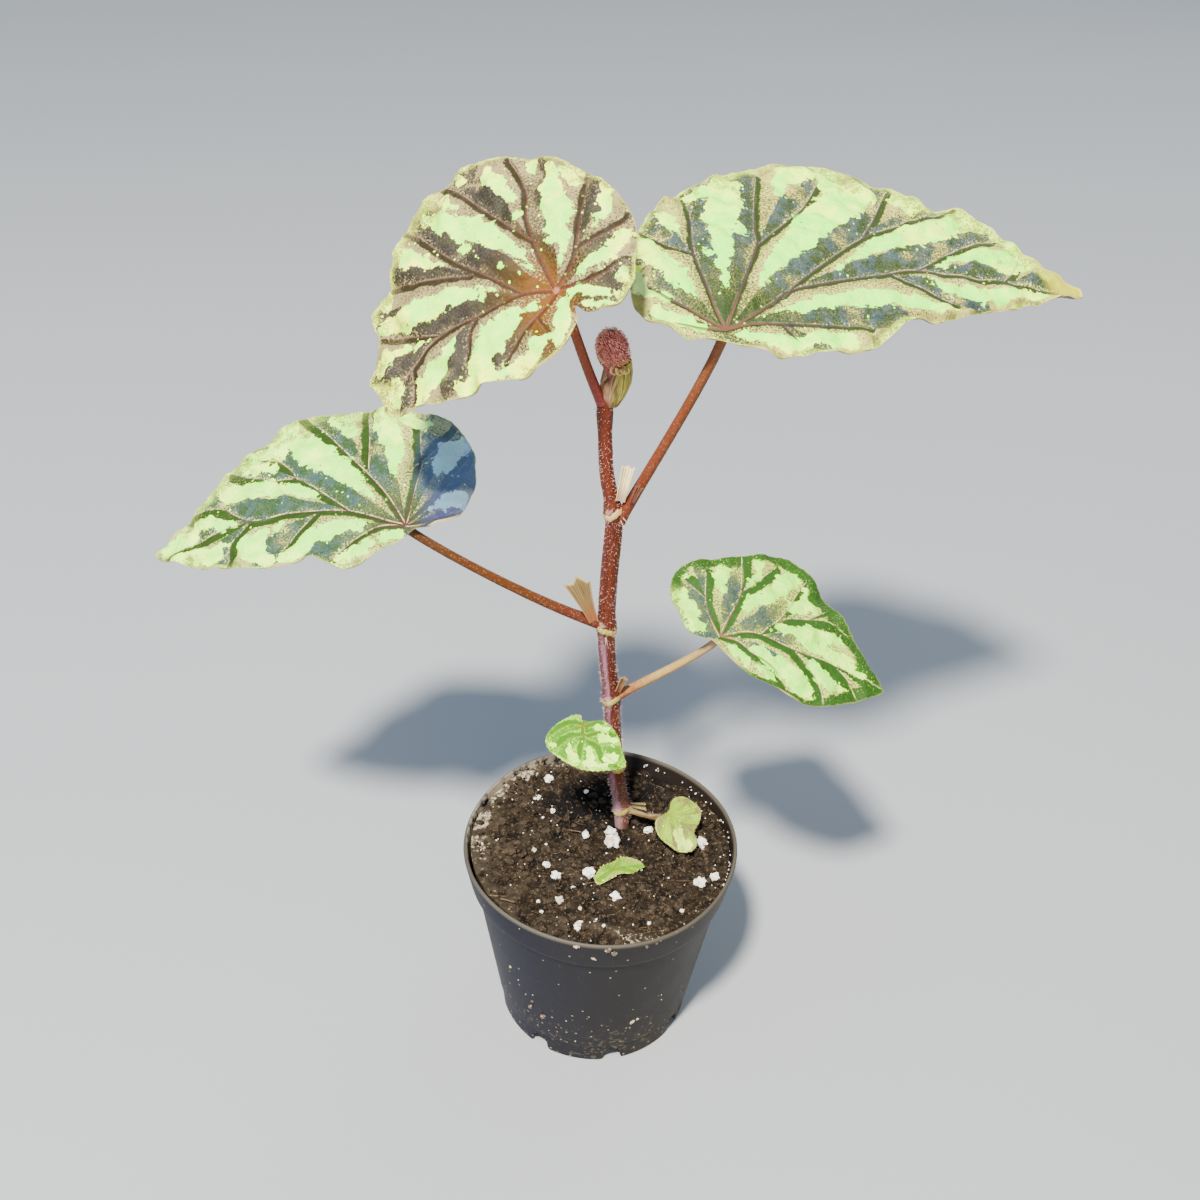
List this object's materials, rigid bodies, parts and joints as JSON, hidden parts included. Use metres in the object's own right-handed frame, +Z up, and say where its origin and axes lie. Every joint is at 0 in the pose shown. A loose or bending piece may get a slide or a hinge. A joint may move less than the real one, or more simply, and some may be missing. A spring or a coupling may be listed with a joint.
{
  "type": "potted begonia",
  "caption": "Young begonia with silver-marked asymmetric leaves on an upright bristly stem, growing in soil in a small tapered plastic pot.",
  "frame": {"origin": "middle of the pot's underside, in the plane it stands on", "axes": "+Z up along the pot's axis; -Y is the front, the side the picture is taken from; the longest leaf points to +X"},
  "size_m": [0.311, 0.1431, 0.3412],
  "materials": {
    "pot_plastic": "matt moulded plastic, dusty near the foot",
    "soil": "crumbly peat and bark with white mineral grains",
    "stem_skin": "waxy red-brown skin with short pale bristles",
    "petiole_red": "waxy, finely haired",
    "petiole_orange": "waxy, finely haired",
    "petiole_pale": "waxy, finely haired",
    "petiole_brown": "shrivelled, dull",
    "blade_silver": "silver patches between dark green veins, fine pale speckle",
    "blade_green": "bright green with paler patches",
    "blade_yellow": "yellowing, speckled brown at the edge",
    "stipule_papery": "dry, papery and ribbed",
    "sheath_green": "ribbed, yellow-green",
    "young_leaf": "downy, red and crumpled"
  },
  "bodies": {
    "root": {"pot": "pot_plastic", "soil": "soil", "stem": "stem_skin", "leaf1_blade": "blade_yellow", "leaf2_blade": "blade_green", "leaf3_blade": "blade_silver", "leaf4_blade": "blade_silver", "leaf5_blade": "blade_silver", "leaf6_blade": "blade_silver", "leaf_scrap": "blade_green", "leaf1_petiole": "petiole_brown", "leaf2_petiole": "petiole_pale", "leaf3_petiole": "petiole_pale", "leaf4_petiole": "petiole_orange", "leaf5_petiole": "petiole_red", "leaf6_petiole": "petiole_red", "leaf1_stipule": "stipule_papery", "leaf3_stipule": "stipule_papery", "leaf4_stipule": "stipule_papery", "leaf5_stipule": "stipule_papery", "leaf5_bract": "stipule_papery", "tip_sheath": "sheath_green", "young_leaf": "young_leaf"}
  },
  "joints": []
}
